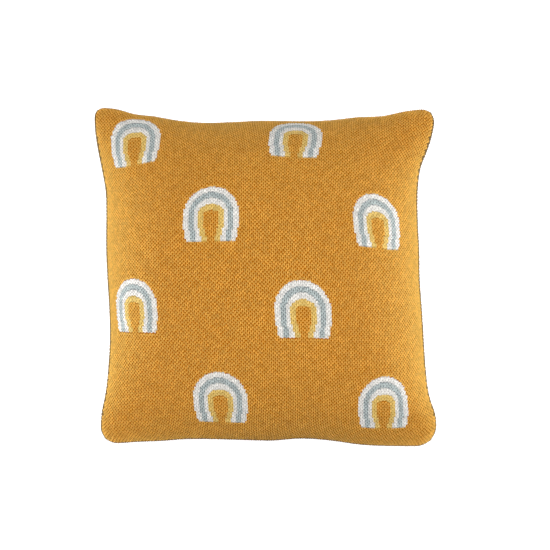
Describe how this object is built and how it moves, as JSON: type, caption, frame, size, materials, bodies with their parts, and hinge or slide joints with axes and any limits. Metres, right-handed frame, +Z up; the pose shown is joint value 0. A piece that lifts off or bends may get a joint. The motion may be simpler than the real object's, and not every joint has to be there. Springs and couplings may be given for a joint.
{
  "type": "knitted cushion",
  "caption": "Square filled cushion in mustard stockinette knit with scattered banded arch motifs, knife-edge seam, drawn-in sides and soft corners.",
  "frame": {"origin": "on the surface that the cushion lies on, under the middle of its box", "axes": "+Z up, out of the front panel; +Y towards the top of the cushion; +X to the right as the front is seen"},
  "size_m": [0.3966, 0.3952, 0.1407],
  "materials": {
    "mustard_yarn": "matt cotton stockinette knit",
    "white_yarn": "matt cotton stockinette knit",
    "grey_blue_yarn": "matt cotton stockinette knit",
    "pale_yellow_yarn": "matt cotton stockinette knit"
  },
  "bodies": {
    "root": {"cushion": "mustard_yarn"}
  },
  "joints": []
}
